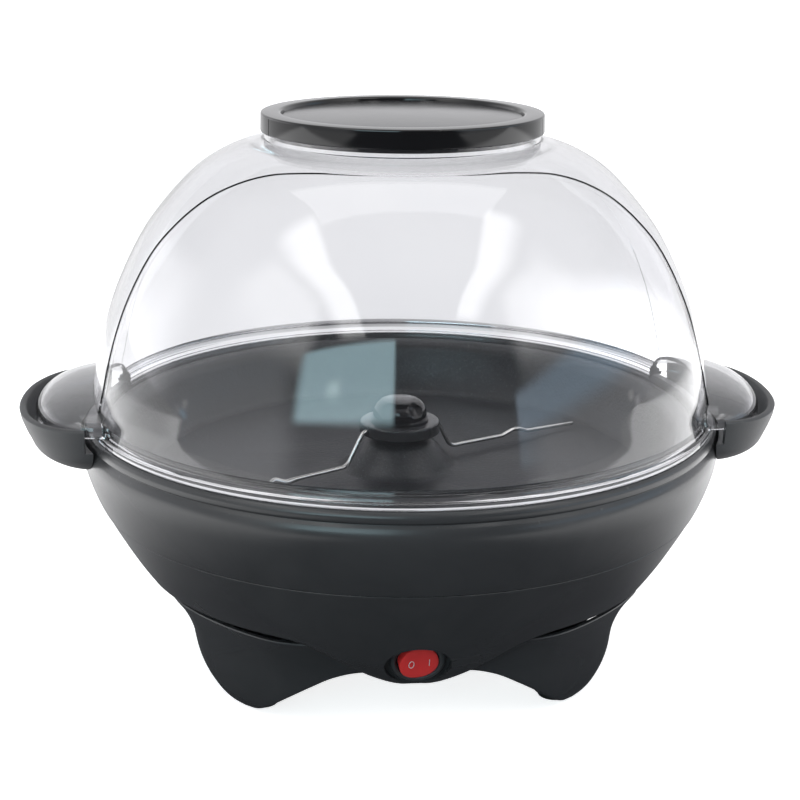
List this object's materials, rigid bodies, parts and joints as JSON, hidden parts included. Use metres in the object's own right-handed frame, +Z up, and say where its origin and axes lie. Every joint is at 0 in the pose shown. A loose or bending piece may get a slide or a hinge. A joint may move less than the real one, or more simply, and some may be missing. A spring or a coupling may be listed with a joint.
{
  "type": "stirring popcorn maker",
  "caption": "Round black stirring popcorn maker with a clear lift-off dome, non-stick pan, motor-driven wire stirrer and a red rocker switch.",
  "frame": {"origin": "on the floor, at the middle of the body's vertical axis", "axes": "+Z up along the drive shaft, -Y towards the front with the switch, +X towards the right-hand handle"},
  "size_m": [0.341, 0.2874, 0.2488],
  "materials": {
    "black_plastic": "satin black moulded plastic",
    "matt_black_plastic": "matt black moulded plastic",
    "gloss_black_plastic": "glossy black moulded plastic",
    "rubber": "black rubber",
    "non_stick": "dark grey non-stick coating on cast aluminium",
    "sheet_aluminium": "bare sheet aluminium",
    "zinc_steel": "zinc-plated steel",
    "stainless": "polished stainless steel",
    "brass": "plain brass",
    "cream_plastic": "cream plastic",
    "ceramic": "white ceramic capsule",
    "red_plastic": "glossy red plastic",
    "clear_plastic": "clear moulded plastic"
  },
  "bodies": {
    "base": {"upper_housing": "black_plastic", "side_handle_left": "matt_black_plastic", "side_handle_right": "matt_black_plastic", "handle_screw_left_1": "zinc_steel", "handle_screw_left_2": "zinc_steel", "handle_screw_right_1": "zinc_steel", "handle_screw_right_2": "zinc_steel", "lower_housing": "black_plastic", "cord_inlet_bush": "rubber", "foot_skirt": "black_plastic", "rubber_foot_1": "rubber", "rubber_foot_2": "rubber", "rubber_foot_3": "rubber", "rubber_foot_4": "rubber", "bottom_cover": "matt_black_plastic", "base_screw_1": "zinc_steel", "base_screw_2": "zinc_steel", "base_screw_3": "zinc_steel", "base_screw_4": "zinc_steel", "heating_pan": "non_stick", "heat_shield": "sheet_aluminium", "pan_screw_1": "zinc_steel", "pan_screw_2": "zinc_steel", "pan_screw_3": "zinc_steel", "heating_element": "zinc_steel", "thermostat": "sheet_aluminium", "thermal_fuse": "ceramic", "motor_can": "zinc_steel", "gearbox_cover": "zinc_steel", "motor_bracket": "zinc_steel", "motor_screw_1": "zinc_steel", "motor_screw_2": "zinc_steel", "shaft_bush": "brass", "terminal_block": "cream_plastic", "switch_body": "gloss_black_plastic", "switch_tab_1": "brass", "switch_tab_2": "brass"},
    "drive": {"drive_shaft": "stainless"},
    "stirrer": {"stirrer_hub": "black_plastic", "stirrer_knob": "gloss_black_plastic", "stirrer_wire_long": "stainless", "stirrer_wire_short": "stainless"},
    "rocker": {"switch_rocker": "red_plastic"},
    "dome": {"dome": "clear_plastic"},
    "cap": {"lid_cap": "gloss_black_plastic"}
  },
  "joints": [
    {"name": "drive_turn", "type": "hinge", "parent": "base", "child": "drive", "pos_m": [0, 0, 0.08], "axis": [0, 0, 1], "continuous": true},
    {"name": "stirrer_lift", "type": "slide", "parent": "drive", "child": "stirrer", "axis": [0, 0, 1], "range_m": [0, 0.06]},
    {"name": "dome_lift", "type": "slide", "parent": "base", "child": "dome", "axis": [0, 0, 1], "range_m": [0, 0.18]},
    {"name": "cap_lift", "type": "slide", "parent": "dome", "child": "cap", "axis": [0, 0, 1], "range_m": [0, 0.06]},
    {"name": "rocker_tilt", "type": "hinge", "parent": "base", "child": "rocker", "pos_m": [0, -0.10349, 0.03682], "axis": [0, -0.3256, 0.9455], "range_deg": [-18, 0]}
  ]
}
